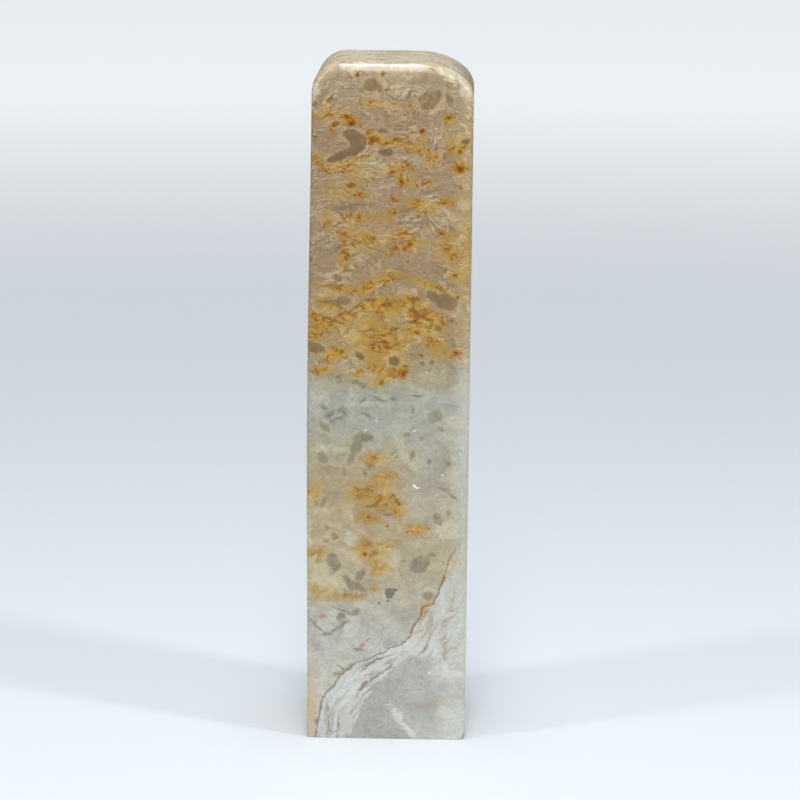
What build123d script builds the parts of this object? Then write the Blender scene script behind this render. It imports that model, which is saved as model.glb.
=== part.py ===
from build123d import *
import os

# A plain stone seal: one square column, sawn from a single piece of rock, ground and polished by hand.
# It stands on its flat seal face. +Z is up, +X is to the right and -Y is the front, as in the photograph.
# The origin is the centre of the seal face. All sizes are in millimetres and all angles in degrees.

# The column
column_width = 25.0  # left to right, at the widest
column_depth = 25.0  # front to back
column_height = 105.5  # seal face to top

# The left side swells a little at half height, and the right side is straight
left_side_swell = 0.36

# The top: a small flat between two shoulders, which are ground by hand and so not alike
left_shoulder_reach = 5.0  # along the top
left_shoulder_drop = 4.9  # down the side
right_shoulder_reach = 8.7
right_shoulder_drop = 5.5

# The polished rim round the front and back faces, which stops at the crisp edge of the seal face
rim_radius = 1.0

# The two foot corners are rubbed round
left_foot_reach = 1.7  # along the seal face
left_foot_rise = 1.6  # up the side
right_foot_reach = 4.3
right_foot_rise = 1.5

# How far a cut runs past the stone
cut_overrun = 2.0

# Places that follow from the sizes
left_x = left_side_swell - column_width / 2
right_x = column_width / 2
left_shoulder_z = column_height - left_shoulder_drop
right_shoulder_z = column_height - right_shoulder_drop
quarter_turn = 90.0


def outline():
    """The column as seen from the front, with its feet still square: up the right side, down the left."""
    with BuildSketch(Plane.XZ) as sketch:
        with BuildLine():
            right_shoulder = EllipticalCenterArc(
                (right_x - right_shoulder_reach, right_shoulder_z),
                right_shoulder_reach,
                right_shoulder_drop,
                arc_size=quarter_turn,
            )
            left_shoulder = EllipticalCenterArc(
                (left_x + left_shoulder_reach, left_shoulder_z),
                left_shoulder_reach,
                left_shoulder_drop,
                start_angle=quarter_turn,
                arc_size=quarter_turn,
            )
            left_foot = (left_x, left_foot_rise)
            swell = (left_x - left_side_swell, (left_shoulder_z + left_foot_rise) / 2)
            Line((right_x, 0), right_shoulder @ 0)
            Line(right_shoulder @ 1, left_shoulder @ 0)
            Spline(left_shoulder @ 1, swell, left_foot, tangents=[(0, -1), (0, -1)])
            Polyline(left_foot, (left_x, 0), (right_x, 0))
        make_face()
    return sketch.sketch


def from_front_to_back(profile, depth):
    """A profile drawn in the plane through the middle of the stone, carried as far forward as back."""
    return Pos(0, depth / 2, 0) * extrude(profile, depth)


def rubbed_foot(corner_x, reach, rise):
    """What was rubbed off one foot corner: all that lies below and beyond a quarter of an ellipse."""
    on_the_left = corner_x < 0
    centre_x = corner_x + reach if on_the_left else corner_x - reach
    with BuildSketch(Plane.XZ) as sketch:
        with Locations((centre_x, rise)):
            outward = Align.MAX if on_the_left else Align.MIN
            Rectangle(reach + cut_overrun, rise + cut_overrun, align=(outward, Align.MAX))
            Ellipse(reach, rise, mode=Mode.SUBTRACT)
    return from_front_to_back(sketch.sketch, column_depth + 2 * cut_overrun)


def seal_stone():
    """The whole seal: the outline carried from front to back, its rims rounded, its foot corners rubbed."""
    stone = from_front_to_back(outline(), column_depth)
    front_to_back = stone.faces().sort_by(Axis.Y)
    seal_face_edges = stone.faces().sort_by(Axis.Z)[0].edges()
    rims = [edge for face in (front_to_back[0], front_to_back[-1]) for edge in face.edges()]
    stone = fillet([edge for edge in rims if edge not in seal_face_edges], rim_radius)
    stone -= rubbed_foot(left_x, left_foot_reach, left_foot_rise)
    stone -= rubbed_foot(right_x, right_foot_reach, right_foot_rise)
    return stone


os.makedirs("parts", exist_ok=True)
stone = seal_stone()
stone.label = "seal_stone"
export_step(stone, "parts/seal_stone.step")
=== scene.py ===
import math

import bmesh
import bpy
import numpy
from mathutils import Matrix, Vector, noise


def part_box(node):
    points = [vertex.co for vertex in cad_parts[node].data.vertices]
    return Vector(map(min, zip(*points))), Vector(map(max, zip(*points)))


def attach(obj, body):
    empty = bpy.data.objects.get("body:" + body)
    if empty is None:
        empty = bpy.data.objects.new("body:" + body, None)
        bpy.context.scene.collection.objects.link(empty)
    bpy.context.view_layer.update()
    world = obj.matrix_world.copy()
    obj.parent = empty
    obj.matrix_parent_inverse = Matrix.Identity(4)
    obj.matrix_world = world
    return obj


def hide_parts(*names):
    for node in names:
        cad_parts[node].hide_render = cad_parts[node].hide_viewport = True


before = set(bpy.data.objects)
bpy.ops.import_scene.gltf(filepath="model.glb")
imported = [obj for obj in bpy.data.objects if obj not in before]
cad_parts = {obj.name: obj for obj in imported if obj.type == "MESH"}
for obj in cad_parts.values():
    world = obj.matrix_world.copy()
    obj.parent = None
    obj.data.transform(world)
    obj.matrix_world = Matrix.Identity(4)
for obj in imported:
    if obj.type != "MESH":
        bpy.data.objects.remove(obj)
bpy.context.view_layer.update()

MM = 0.001

# The stone, in metres, as the frame gives it
low, high = (Vector(corner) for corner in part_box("seal_stone"))
size = high - low
middle = (low + high) / 2

# How the shoulders and feet were ground: reach along the end, and drop or rise along the side
left_shoulder = (5.0 * MM, 4.9 * MM)
right_shoulder = (8.7 * MM, 5.5 * MM)
left_foot = (1.7 * MM, 1.6 * MM)
right_foot = (4.3 * MM, 1.5 * MM)
left_side_swell = 0.36 * MM

# How far the front and back rims were rubbed round: most along the top, hardly at all at the seal face
top_rim = 1.8 * MM
right_shoulder_rim = 2.0 * MM
left_rim = 0.7 * MM
right_rim = 1.0 * MM
foot_rim = 0.25 * MM

# The skin's faces: small across and up, where the pattern is laid on, and longer from front to back
skin_spacing = (0.32 * MM, 1.2 * MM, 0.32 * MM)

# The camera, fitted to the outline of the stone in the photograph
lens_mm = 162.0
sensor_mm = 36.0
camera_place = Vector((12.35, -556.87, 149.04)) * MM
camera_pitch = math.radians(9.932)
camera_turn = math.radians(1.108)
camera_roll = math.radians(0.651)


def linear(hex_colour):
    """An sRGB hex colour as linear red, green, blue and alpha."""
    shares = [int(hex_colour[i:i + 2], 16) / 255 for i in (1, 3, 5)]
    return [s / 12.92 if s <= 0.04045 else ((s + 0.055) / 1.055) ** 2.4 for s in shares] + [1.0]


def add(tree, kind, settings, inputs):
    """Adds a node, sets it up, and gives each input a value or a link from another node."""
    node = tree.nodes.new("ShaderNode" + kind)
    for name, value in settings.items():
        if name == "stops":
            elements = node.color_ramp.elements
            for count, (position, colour) in enumerate(value):
                element = elements[count] if count < 2 else elements.new(position)
                element.position = position
                element.color = linear(colour) if isinstance(colour, str) else [colour] * 3 + [1.0]
        elif name == "points":
            curve = node.mapping.curves[0].points
            curve[0].location, curve[1].location = value[0], value[-1]
            for point in value[1:-1]:
                curve.new(*point)
            node.mapping.update()
        else:
            setattr(node, name, value)
    sockets = [socket for socket in node.inputs if socket.enabled]
    named = {socket.name: socket for socket in sockets}
    for key, value in inputs.items():
        socket = sockets[key] if isinstance(key, int) else named[key]
        if isinstance(value, bpy.types.Node):
            value = next(output for output in value.outputs if output.enabled)
        if isinstance(value, bpy.types.NodeSocket):
            tree.links.new(value, socket)
        else:
            socket.default_value = value
    return node


def select_edges(chosen):
    """In edit mode, selects the edges that pass a test, and nothing else."""
    bpy.ops.mesh.select_mode(type="EDGE")
    bpy.ops.mesh.select_all(action="DESELECT")
    mesh = bpy.context.object.data
    edit = bmesh.from_edit_mesh(mesh)
    for edge in edit.edges:
        edge.select_set(chosen(edge))
    edit.select_flush_mode()
    bmesh.update_edit_mesh(mesh)


def block(name):
    """A block as large as the stone, with its place in its mesh, left in edit mode."""
    bpy.ops.object.select_all(action="DESELECT")
    bpy.ops.mesh.primitive_cube_add(size=1, location=middle, scale=size)
    bpy.context.object.name = name
    bpy.ops.object.transform_apply(location=True, rotation=True, scale=True)
    bpy.ops.object.mode_set(mode="EDIT")
    return bpy.context.object


def grind_corner(x, z, reach, drop, steps):
    """Rounds a corner to a quarter ellipse: a round bevel, cut while the block is stretched upright."""
    stretch = reach / drop
    bpy.ops.mesh.select_all(action="SELECT")
    bpy.ops.transform.resize(value=(1, 1, stretch), center_override=(0, 0, 0))
    select_edges(lambda edge: all(abs(v.co.x - x) + abs(v.co.z - z * stretch) < 1e-6 for v in edge.verts))
    bpy.ops.mesh.bevel(offset=reach, segments=steps, profile=0.5, affect="EDGES")
    bpy.ops.mesh.select_all(action="SELECT")
    bpy.ops.transform.resize(value=(1, 1, 1 / stretch), center_override=(0, 0, 0))


def slice_across(places, axis):
    """Cuts the whole mesh across an axis at each of the places, without parting it."""
    normal = [0, 0, 0]
    normal[axis] = 1
    for place in places:
        bpy.ops.mesh.select_all(action="SELECT")
        bpy.ops.mesh.bisect(plane_co=[place * n for n in normal], plane_no=normal)


def apply(piece, kind, settings):
    """Adds a modifier with its settings and applies it."""
    modifier = piece.modifiers.new(kind.lower(), kind)
    for name, value in settings.items():
        setattr(modifier, name, value)
    bpy.context.view_layer.objects.active = piece
    bpy.ops.object.modifier_apply(modifier=modifier.name)


def ground_form():
    """The form in few faces: ground corners, the swelling left side, and rims that change in width."""
    form = block("ground_form")
    grind_corner(high.x, high.z, *right_shoulder, steps=40)
    grind_corner(low.x, high.z, *left_shoulder, steps=32)
    grind_corner(high.x, low.z, *right_foot, steps=16)
    grind_corner(low.x, low.z, *left_foot, steps=12)

    # The left side swells towards half height, so it is sliced first, and the shift fades out to the right
    swell_foot = low.z + left_foot[1]
    swell_top = high.z - left_shoulder[1]
    slices = 24
    slice_across([swell_foot + (swell_top - swell_foot) * i / slices for i in range(1, slices)], axis=2)
    bpy.ops.object.mode_set(mode="OBJECT")
    for vertex in form.data.vertices:
        if vertex.co.x < low.x + left_shoulder[0]:
            share = min(max((vertex.co.z - swell_foot) / (swell_top - swell_foot), 0), 1)
            fade = min(1, (low.x + left_shoulder[0] - vertex.co.x) / left_shoulder[0])
            vertex.co.x += left_side_swell * fade * (1 - 16 * (share * (1 - share)) ** 2)

    # The rims are bevelled as wide as their weights say. The slices cross the front and back faces, and their
    # edges there lie inside the outline and stay flat.
    weights = form.data.attributes.new("bevel_weight_edge", "FLOAT", "EDGE")
    for edge in form.data.edges:
        ends = [form.data.vertices[i].co for i in edge.vertices]
        on_rim = any(all(abs(end.y - y) < 1e-6 for end in ends) for y in (low.y, high.y))
        centre = (ends[0] + ends[1]) / 2
        across = low.x + 2 * MM < centre.x < high.x - 2 * MM
        inside = across and low.z + MM < centre.z < high.z - 8 * MM
        if on_rim and not inside:
            weights.data[edge.index].value = rim_width(centre) / right_shoulder_rim
    apply(form, "BEVEL", {
        "width": right_shoulder_rim, "segments": 14, "limit_method": "WEIGHT", "use_clamp_overlap": False,
    })
    return form


def rim_width(place):
    """How wide the rim is at a place on the outline."""
    side_rim = left_rim if place.x < middle.x else right_rim
    shoulder = left_shoulder if place.x < middle.x else right_shoulder
    foot = left_foot if place.x < middle.x else right_foot
    # It widens over most of the shoulder, and narrows from a little above the foot
    shoulder_blend = 0.7 * shoulder[1]
    foot_blend = 1.6 * foot[1]
    up = min(max((place.z - (high.z - shoulder[1])) / shoulder_blend, 0), 1)
    down = min(max((low.z + foot_blend - place.z) / foot_blend, 0), 1)
    right = min(max((place.x - 4 * MM) / (6 * MM), 0), 1)
    end_rim = top_rim + (right_shoulder_rim - top_rim) * right
    width = side_rim + (end_rim - side_rim) * up
    return width + (foot_rim - width) * down


def skin_places(start, end, spacing):
    """Where to slice the skin along one side: close together at both rims, then evenly spaced."""
    near = [mm * MM for mm in (0.1, 0.22, 0.36, 0.52, 0.7, 0.92, 1.2, 1.55, 2.0)]
    run = end - start - 2 * near[-1]
    # A whole number of fours, because the skin is first cut in four
    rows = 4 * round((run / spacing + 2 * len(near)) / 4)
    steps = rows - 2 * len(near)
    even = [start + near[-1] + run * i / steps for i in range(1, steps)]
    return [start + n for n in near] + even + [end - n for n in reversed(near)]


def polished_seal():
    """The seal: an even skin drawn on to the ground form, and smoothed a little."""
    form = ground_form()
    seal = block("polished_seal")
    for axis in range(3):
        levels = [low[axis]] + skin_places(low[axis], high[axis], skin_spacing[axis]) + [high[axis]]
        rows = len(levels) - 1
        # In two goes, because one makes no more than a hundred cuts
        for parts in (4, rows // 4):
            select_edges(lambda edge: abs(edge.verts[0].co[axis] - edge.verts[1].co[axis]) > 1e-6)
            bpy.ops.mesh.subdivide(number_cuts=parts - 1)
        step = size[axis] / rows
        edit = bmesh.from_edit_mesh(seal.data)
        for vertex in edit.verts:
            vertex.co[axis] = levels[round((vertex.co[axis] - low[axis]) / step)]
        bmesh.update_edit_mesh(seal.data)
    bpy.ops.object.mode_set(mode="OBJECT")
    apply(seal, "SHRINKWRAP", {"target": form, "wrap_method": "NEAREST_SURFACEPOINT"})
    bpy.data.objects.remove(form)
    apply(seal, "SMOOTH", {"factor": 0.5, "iterations": 3})
    bpy.ops.object.select_all(action="DESELECT")
    seal.select_set(True)
    bpy.ops.object.shade_smooth()
    return seal


seal = polished_seal()
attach(seal, "root")
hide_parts("seal_stone")

# The stone's pattern is solid: it is worked out from the place in the stone, in millimetres from the
# centre of the seal face, so it runs on round the rims as it does through real rock. The places below are
# read off the polished front. Each is across, up, half width, half height and lean in degrees.

ochre_haze_places = [
    (-9.4, 97.6, 2.2, 1.0, 0), (-6.0, 96.9, 2.6, 0.8, 0), (-3.0, 94.6, 1.2, 0.7, -40),
    (0.8, 93.3, 2.6, 0.9, -20), (3.6, 92.9, 2.2, 0.9, -20), (6.6, 91.2, 1.6, 0.9, 0),
    (10.4, 93.0, 2.0, 1.2, 20), (-9.6, 90.4, 2.6, 0.8, -20), (-6.2, 89.9, 2.4, 0.7, 20),
    (-0.6, 98.9, 4.0, 0.7, 0), (3.3, 98.9, 0.9, 0.8, 0), (8.7, 97.2, 1.2, 0.9, 0),
    (10.5, 89.4, 1.6, 1.4, 0), (-4.0, 88.0, 3.0, 1.0, 0), (1.8, 88.2, 2.4, 1.4, -40),
    (-6.0, 86.0, 2.6, 1.3, 0), (4.0, 83.8, 3.6, 1.2, 0), (8.4, 84.3, 2.4, 1.0, 20),
    (-5.4, 81.9, 3.2, 0.8, 0), (0.5, 82.4, 1.4, 0.8, 0), (-4.6, 78.8, 4.6, 1.3, -20),
    (1.8, 79.0, 3.0, 1.0, 20), (3.4, 77.8, 1.8, 1.0, 0), (9.4, 77.2, 2.4, 2.6, 0),
    (11.8, 77.5, 1.2, 5.0, 0), (-6.8, 76.0, 1.0, 1.8, 0), (-0.4, 72.6, 2.6, 0.9, 20),
    (-3.2, 71.4, 2.2, 0.9, 20), (6.4, 71.2, 2.6, 0.8, -20), (10.8, 73.2, 1.6, 1.4, 0),
    (-7.4, 70.8, 3.4, 0.7, 0), (-9.0, 68.2, 2.6, 0.7, -20), (-0.4, 68.0, 4.8, 1.6, 0),
    (4.2, 68.2, 2.4, 1.7, 0), (7.0, 66.4, 2.8, 1.3, -20), (-9.6, 65.6, 3.2, 1.3, -20),
    (-6.0, 66.4, 1.8, 0.7, 20), (-2.0, 65.6, 3.0, 1.2, 0), (5.0, 64.6, 3.6, 1.4, 0),
    (-10.6, 63.6, 2.2, 0.9, 0), (-1.6, 62.6, 4.4, 1.9, 0), (-8.0, 60.7, 2.4, 1.0, 0),
    (-0.4, 59.6, 3.6, 1.9, 0), (1.4, 57.9, 1.8, 1.1, 0), (9.6, 61.2, 1.9, 0.9, 0), (6.8, 62.6, 2.6, 1.0, 0),
    (-1.6, 57.0, 1.7, 1.3, 0), (-10.2, 58.0, 1.4, 0.7, 0), (-5.0, 57.8, 1.2, 0.6, 0),
    (-0.9, 41.4, 2.2, 1.4, 0), (-3.8, 38.9, 2.6, 1.5, 0), (-11.2, 38.9, 1.4, 1.1, 0),
    (-0.9, 37.6, 2.2, 1.4, 0), (1.5, 36.8, 1.3, 1.6, 0), (-2.6, 35.4, 1.9, 0.8, 0),
    (-2.0, 44.3, 2.0, 0.8, 0), (3.9, 33.3, 1.5, 0.8, 0), (-3.2, 30.6, 1.9, 1.5, 0),
    (-0.6, 31.0, 1.2, 0.6, 0), (-1.4, 27.9, 2.2, 1.8, -40), (-10.6, 29.4, 1.5, 1.0, 0),
    (-9.4, 23.4, 2.4, 1.0, 0), (-6.0, 23.0, 1.6, 0.7, 0), (-2.3, 24.2, 1.0, 0.6, 0),
    (5.8, 19.6, 0.4, 1.6, -20), (9.0, 6.4, 2.2, 0.7, 20), (10.6, 7.6, 0.9, 0.7, 0),
]
ochre_places = [
    (-9.4, 97.3, 0.7, 0.45, 0), (-6.6, 97.0, 0.9, 0.35, -20), (-8.4, 95.5, 0.45, 0.35, 0),
    (-3.6, 99.2, 0.6, 0.3, 0), (3.3, 98.9, 0.45, 0.4, 0), (8.7, 97.1, 0.5, 0.35, 0),
    (-9.5, 99.3, 0.45, 0.4, 0), (-2.6, 94.5, 1.0, 0.3, -40), (-3.2, 93.6, 0.35, 0.9, 0),
    (-1.6, 93.4, 0.7, 0.25, -40), (0.0, 93.0, 0.9, 0.25, 0), (1.5, 92.9, 0.9, 0.28, -20),
    (3.0, 92.4, 1.0, 0.3, -20), (4.2, 92.1, 0.8, 0.25, 0), (1.4, 93.8, 1.6, 0.2, 0),
    (6.3, 91.0, 0.5, 0.55, 0), (10.6, 93.2, 1.1, 0.5, 20), (10.2, 92.2, 0.9, 0.4, 0),
    (-11.4, 90.5, 0.9, 0.35, -20), (-10.4, 89.7, 0.7, 0.3, -40), (-9.0, 89.1, 1.0, 0.25, 0),
    (-7.6, 89.3, 0.8, 0.25, 20), (-6.4, 90.2, 0.8, 0.25, 40), (-5.0, 90.8, 0.8, 0.2, 0),
    (10.7, 89.5, 0.8, 0.9, 0), (2.2, 89.9, 0.5, 0.3, 0), (0.3, 88.8, 0.4, 0.35, 0),
    (1.8, 87.5, 0.45, 0.5, 0), (-6.2, 86.6, 0.45, 0.4, 0), (-4.8, 85.4, 0.4, 0.35, 0),
    (5.7, 86.8, 0.6, 0.35, 0), (0.4, 84.8, 0.4, 0.35, 0), (8.1, 84.2, 0.7, 0.4, 0),
    (4.2, 84.0, 0.9, 0.5, 0), (4.6, 82.8, 0.5, 0.35, 0), (0.7, 82.6, 0.4, 0.35, 0),
    (-4.7, 81.9, 0.6, 0.45, 0), (-6.8, 81.8, 0.8, 0.25, 0), (-9.6, 80.8, 0.5, 0.3, 0),
    (7.7, 79.6, 0.5, 0.4, 0), (-6.9, 79.2, 0.6, 0.35, 0), (-4.0, 78.5, 0.8, 0.5, -20),
    (-2.4, 78.3, 0.5, 0.5, 0), (-5.6, 77.4, 0.9, 0.2, -20), (0.7, 78.9, 0.6, 0.4, 0),
    (2.2, 79.2, 0.9, 0.4, 20), (3.2, 77.8, 0.7, 0.55, 0), (1.2, 77.2, 0.7, 0.25, 20),
    (9.0, 77.2, 0.6, 0.6, 0), (10.0, 76.0, 0.6, 0.3, 0), (-6.8, 75.9, 0.4, 0.45, 0),
    (-6.9, 74.2, 0.25, 0.7, 0), (-0.2, 72.5, 0.8, 0.4, 20), (-1.4, 71.9, 0.6, 0.3, 20),
    (-3.0, 71.3, 0.7, 0.6, 20), (-3.6, 70.4, 0.8, 0.35, 0), (6.6, 71.3, 0.8, 0.3, -20),
    (-7.7, 71.0, 0.5, 0.25, 0), (-5.7, 70.6, 0.35, 0.35, 0), (-8.8, 68.3, 0.5, 0.3, 0),
    (-4.4, 67.9, 0.9, 0.4, 40), (-2.7, 68.2, 1.2, 0.7, 20), (-1.2, 67.8, 0.6, 1.1, 0),
    (0.6, 68.6, 0.9, 0.5, 0), (2.6, 69.2, 1.0, 0.5, 20), (4.0, 69.2, 0.6, 0.7, 0),
    (3.8, 67.2, 0.8, 0.9, -20), (4.2, 66.1, 0.9, 0.6, -40), (5.6, 67.2, 0.9, 0.5, -40),
    (6.6, 66.4, 0.8, 0.5, -40), (8.3, 65.9, 0.7, 0.35, 0), (-9.4, 65.4, 1.6, 0.35, 0),
    (-10.6, 66.2, 0.9, 0.25, -20), (-6.6, 66.6, 1.2, 0.2, 20), (-10.9, 64.6, 0.6, 0.3, 0),
    (-1.5, 64.0, 1.3, 0.35, 0), (0.6, 64.4, 0.8, 0.35, 0), (4.7, 64.6, 1.3, 0.5, 0),
    (-11.5, 63.6, 0.8, 0.5, 0), (-0.3, 61.9, 0.9, 0.4, 0), (-2.2, 61.6, 0.7, 0.5, 0),
    (-0.4, 63.0, 1.6, 0.3, 0), (7.0, 62.6, 0.8, 0.4, 0), (9.9, 61.1, 0.7, 0.5, 0),
    (-8.0, 60.6, 1.1, 0.6, 0), (-9.4, 60.2, 0.6, 0.3, 20), (0.8, 58.0, 0.6, 0.55, 0),
    (2.2, 58.0, 0.5, 0.5, 0), (-1.2, 56.5, 0.4, 0.35, 0), (-1.8, 58.4, 0.7, 0.5, 0),
    (-10.1, 57.9, 0.7, 0.35, 0), (-4.8, 57.7, 0.6, 0.3, 0), (-2.1, 44.7, 0.4, 0.35, 0),
    (-2.6, 43.5, 0.45, 0.4, 0), (-0.8, 41.5, 0.7, 0.4, 0), (-4.0, 38.9, 1.0, 0.6, 0),
    (-2.7, 39.6, 0.5, 0.4, 0), (-1.6, 38.3, 0.6, 0.4, 0), (-1.5, 37.7, 0.6, 0.3, 40),
    (-2.8, 35.5, 0.6, 0.4, 0), (-0.7, 35.8, 0.7, 0.18, 0), (1.2, 38.2, 0.6, 0.5, 0),
    (1.5, 36.8, 0.5, 0.7, 0), (4.0, 33.2, 0.7, 0.4, 0), (5.6, 33.3, 0.7, 0.4, 0),
    (5.9, 32.1, 0.35, 0.25, 0), (-0.5, 31.1, 0.7, 0.35, 0), (-3.2, 30.8, 0.9, 0.5, 0),
    (-2.4, 29.6, 0.8, 0.45, 0), (-10.9, 29.2, 0.35, 0.45, 0), (-1.2, 27.6, 0.8, 0.7, -40),
    (-2.3, 24.2, 0.4, 0.3, 0), (-6.2, 23.1, 0.6, 0.35, 0), (-4.2, 22.8, 0.5, 0.25, 0),
]
# Smooth pebbles of clear quartz: brownish above, olive and grey below
pebble_places = [
    (-5.9, 94.4, 1.5, 0.9, -20), (-5.0, 93.3, 1.3, 1.5, 0), (-5.7, 92.0, 1.6, 0.8, 20),
    (-7.2, 91.3, 1.8, 0.7, 20), (-8.7, 90.7, 1.2, 0.55, 20), (-0.7, 91.8, 1.3, 0.75, 0),
    (-3.2, 102.0, 1.2, 1.0, 20), (-4.5, 101.2, 0.5, 0.4, 0), (-1.8, 101.4, 0.5, 0.9, 20),
    (4.8, 100.3, 0.55, 1.0, -40), (6.5, 100.2, 1.0, 1.3, -40), (5.5, 98.9, 1.2, 0.7, 0),
    (8.7, 100.0, 0.55, 1.3, 20), (-11.6, 99.0, 0.5, 0.5, 0), (-1.2, 95.1, 0.9, 0.5, 0),
    (-2.2, 96.7, 0.5, 0.25, 0), (2.9, 93.3, 0.5, 0.35, 0), (11.3, 93.6, 0.7, 0.4, 0),
    (-8.0, 72.5, 0.75, 0.65, 0), (8.7, 69.0, 1.8, 1.3, -20), (6.8, 69.7, 1.3, 0.8, -40),
    (-7.0, 69.0, 1.2, 0.7, 0), (-11.2, 61.7, 1.6, 0.8, -20), (-4.4, 60.5, 0.9, 0.6, -40),
    (0.8, 59.8, 0.9, 0.75, 0), (5.3, 59.3, 0.5, 0.35, 0), (6.6, 59.6, 0.4, 0.5, 0),
    (-5.0, 56.4, 0.9, 0.45, 0), (-7.6, 56.5, 0.45, 0.4, 0), (7.2, 51.2, 1.3, 1.0, 20),
    (8.1, 49.2, 0.6, 0.4, 0), (-3.8, 47.8, 1.6, 0.8, 0), (-4.9, 46.2, 0.9, 1.4, -20),
    (-5.6, 44.4, 0.5, 1.1, -20), (3.8, 45.0, 0.4, 0.8, 0), (-9.8, 49.4, 1.1, 0.6, -40),
    (-10.0, 44.5, 0.8, 1.0, 20), (-3.5, 42.2, 0.5, 0.9, 0), (-6.7, 42.3, 0.35, 0.8, 20),
    (-9.8, 37.4, 0.5, 1.0, -40), (-11.1, 37.4, 0.4, 0.5, 20), (-9.3, 33.5, 0.4, 0.55, 0),
    (-8.0, 32.1, 0.6, 0.6, 20), (-9.4, 31.5, 0.5, 0.35, 0), (-8.4, 28.5, 1.0, 1.1, 20),
    (-7.9, 27.5, 0.9, 0.9, 0), (5.0, 27.7, 1.5, 1.3, 0), (5.6, 28.4, 1.1, 1.1, 0), (7.2, 29.5, 0.8, 0.4, 0),
    (7.8, 35.1, 0.8, 1.0, 20), (9.5, 36.2, 0.5, 0.5, 0), (-6.0, 25.3, 0.6, 1.0, 40),
    (-4.0, 26.1, 0.6, 1.1, -40), (-4.9, 24.4, 1.1, 0.8, 0), (-3.8, 23.9, 0.8, 0.4, -40),
    (6.5, 22.9, 1.0, 0.7, 0), (-7.0, 19.2, 0.7, 1.0, 0), (-4.6, 20.2, 0.7, 0.5, 20),
    (-7.4, 10.4, 0.9, 0.35, 20), (-5.6, 11.4, 0.9, 0.35, 40),
]
slate_places = [
    (0.6, 23.3, 0.65, 0.9, 0), (1.3, 23.8, 0.7, 0.25, 0), (0.3, 22.0, 0.25, 0.2, 0),
    (-1.1, 21.6, 0.3, 0.25, 0),
]
dark_places = [
    (-7.2, 83.3, 1.6, 0.3, 0), (-4.8, 83.8, 1.4, 0.2, 0), (2.6, 83.0, 1.4, 0.3, 0),
    (3.0, 81.1, 1.3, 0.16, 0), (5.4, 81.1, 1.3, 0.15, 0), (7.2, 80.3, 1.0, 0.18, -40),
    (9.0, 80.4, 1.0, 0.16, -20), (-5.8, 78.5, 1.5, 0.16, -20), (-2.2, 77.0, 1.3, 0.14, -20),
    (-8.0, 77.0, 0.9, 0.18, 40), (-5.6, 76.0, 1.0, 0.2, 20), (-9.6, 71.3, 1.2, 0.16, 0),
    (-9.4, 68.8, 1.3, 0.2, 0), (-7.6, 68.1, 0.8, 0.2, -40), (-5.0, 68.2, 1.1, 0.18, 40),
    (-3.2, 69.2, 0.9, 0.14, 0), (-8.8, 66.1, 1.5, 0.2, -20), (-6.6, 67.2, 0.4, 0.25, 0),
    (3.9, 69.2, 0.6, 0.35, 0), (0.0, 68.4, 0.8, 0.14, 20), (6.4, 65.2, 0.25, 0.35, 0),
    (7.8, 64.9, 0.2, 0.4, 0), (-1.2, 62.6, 1.0, 0.16, 0), (1.1, 62.2, 0.6, 0.16, 20),
    (2.2, 57.9, 0.35, 0.3, 0), (2.7, 59.0, 0.3, 0.2, 0), (-9.8, 52.3, 0.5, 0.3, -40),
    (-9.0, 51.3, 0.6, 0.3, 40), (-7.3, 52.1, 0.5, 0.25, 40), (-6.6, 51.6, 0.25, 0.5, 0),
    (-7.6, 50.8, 0.7, 0.22, 20), (-8.6, 50.2, 0.35, 0.25, 0), (-1.3, 53.8, 1.0, 0.2, -20),
    (-4.0, 53.4, 0.5, 0.2, 40), (0.7, 53.7, 0.35, 0.25, 0), (-3.2, 51.3, 0.7, 0.16, -20),
    (3.9, 52.2, 0.2, 0.3, 0), (4.6, 54.4, 0.7, 0.16, 0), (-7.6, 57.2, 0.4, 0.25, 40),
    (-3.8, 55.9, 0.5, 0.3, 0), (3.0, 48.3, 0.45, 0.25, 0), (5.2, 47.7, 0.25, 0.25, 0),
    (1.5, 44.8, 0.2, 0.2, 0), (0.8, 45.3, 0.4, 0.13, 20), (6.4, 44.0, 0.25, 0.25, 0),
    (9.4, 43.9, 0.25, 0.3, 0), (-2.6, 43.4, 0.4, 0.25, 40), (8.8, 39.8, 0.6, 0.14, -20),
    (10.2, 38.7, 0.6, 0.16, -40), (-4.6, 39.3, 0.2, 0.2, 0), (-2.8, 39.6, 0.5, 0.15, 0),
    (0.9, 39.0, 0.2, 0.16, 0), (1.3, 38.3, 0.18, 0.18, 0), (1.8, 37.4, 0.2, 0.25, 0),
    (1.6, 38.0, 0.5, 0.1, 40), (-2.4, 36.9, 0.8, 0.16, 0), (-2.0, 37.2, 0.3, 0.16, 40),
    (-0.2, 37.2, 0.25, 0.16, 0), (0.2, 35.8, 0.5, 0.16, 0), (-1.8, 29.7, 0.45, 0.3, 40),
    (-2.8, 30.9, 0.3, 0.2, 0), (2.5, 28.4, 0.4, 0.16, 0), (2.2, 26.1, 0.16, 0.16, 0),
    (-5.6, 22.9, 0.4, 0.16, 0), (-11.4, 18.7, 0.6, 0.12, -40), (-10.4, 17.6, 0.9, 0.12, -40),
    (-9.2, 16.6, 0.7, 0.2, 0), (-7.9, 17.4, 0.9, 0.12, 40), (-6.6, 18.2, 0.9, 0.16, 40),
    (-6.4, 20.3, 1.2, 0.14, -20), (-4.2, 14.3, 0.55, 0.18, 0), (-6.9, 11.3, 0.5, 0.14, -40),
    (-2.9, 11.6, 1.2, 0.14, 40), (-0.4, 12.9, 1.2, 0.1, 20), (-7.2, 2.2, 0.12, 0.7, 0),
    (-7.8, 0.9, 0.5, 0.1, 40), (-10.6, 2.7, 0.3, 0.35, 0), (10.5, 20.8, 0.5, 0.1, 20),
    (-8.4, 1.1, 0.3, 0.1, 40),
]
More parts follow.
